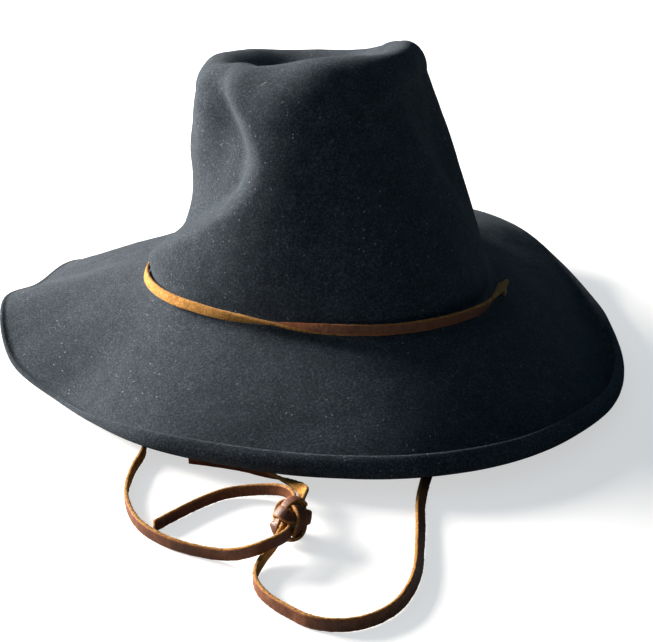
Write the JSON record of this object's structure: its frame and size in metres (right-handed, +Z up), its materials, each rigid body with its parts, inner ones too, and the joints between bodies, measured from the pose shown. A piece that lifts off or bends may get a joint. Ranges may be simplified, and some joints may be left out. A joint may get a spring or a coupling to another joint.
{
  "type": "wide-brimmed felt hat",
  "caption": "Soft wide-brimmed felt hat with a dented crown, a drooping brim curled up at the front, and a leather lace as hat band and chin cord with a sliding woven knot.",
  "frame": {"origin": "middle of the hat's bounding box, at its underside: the surface that the brim lies on, with the free chin lace and its knot left out", "axes": "+Z up out of the crown, -Y towards the front of the hat, where the lace runs round the crown and the chin cord lies, +X to the right of someone who looks at the front"},
  "size_m": [0.3124, 0.4384, 0.1578],
  "materials": {
    "felt": "matte wool felt with fine lint",
    "sweatband_leather": "smooth thin leather",
    "reed": "matte",
    "thread": "matte sewing thread",
    "ribbon": "ribbed ribbon",
    "lace_leather": "brown grain on one side, golden suede on the other",
    "knot_leather": "woven leather strands"
  },
  "bodies": {
    "hat": {"felt_body": "felt", "sweatband": "sweatband_leather", "sweatband_reed": "reed", "sweatband_stitching": "thread", "sweatband_bow": "ribbon", "crown_lace": "lace_leather", "chin_lace_left": "lace_leather", "chin_lace_right": "lace_leather"},
    "knot": {"slide_knot": "knot_leather"}
  },
  "joints": [
    {"name": "knot_slide", "type": "slide", "parent": "hat", "child": "knot", "axis": [0.208, 0.9781, 0], "range_m": [-0.002, 0.002]}
  ]
}
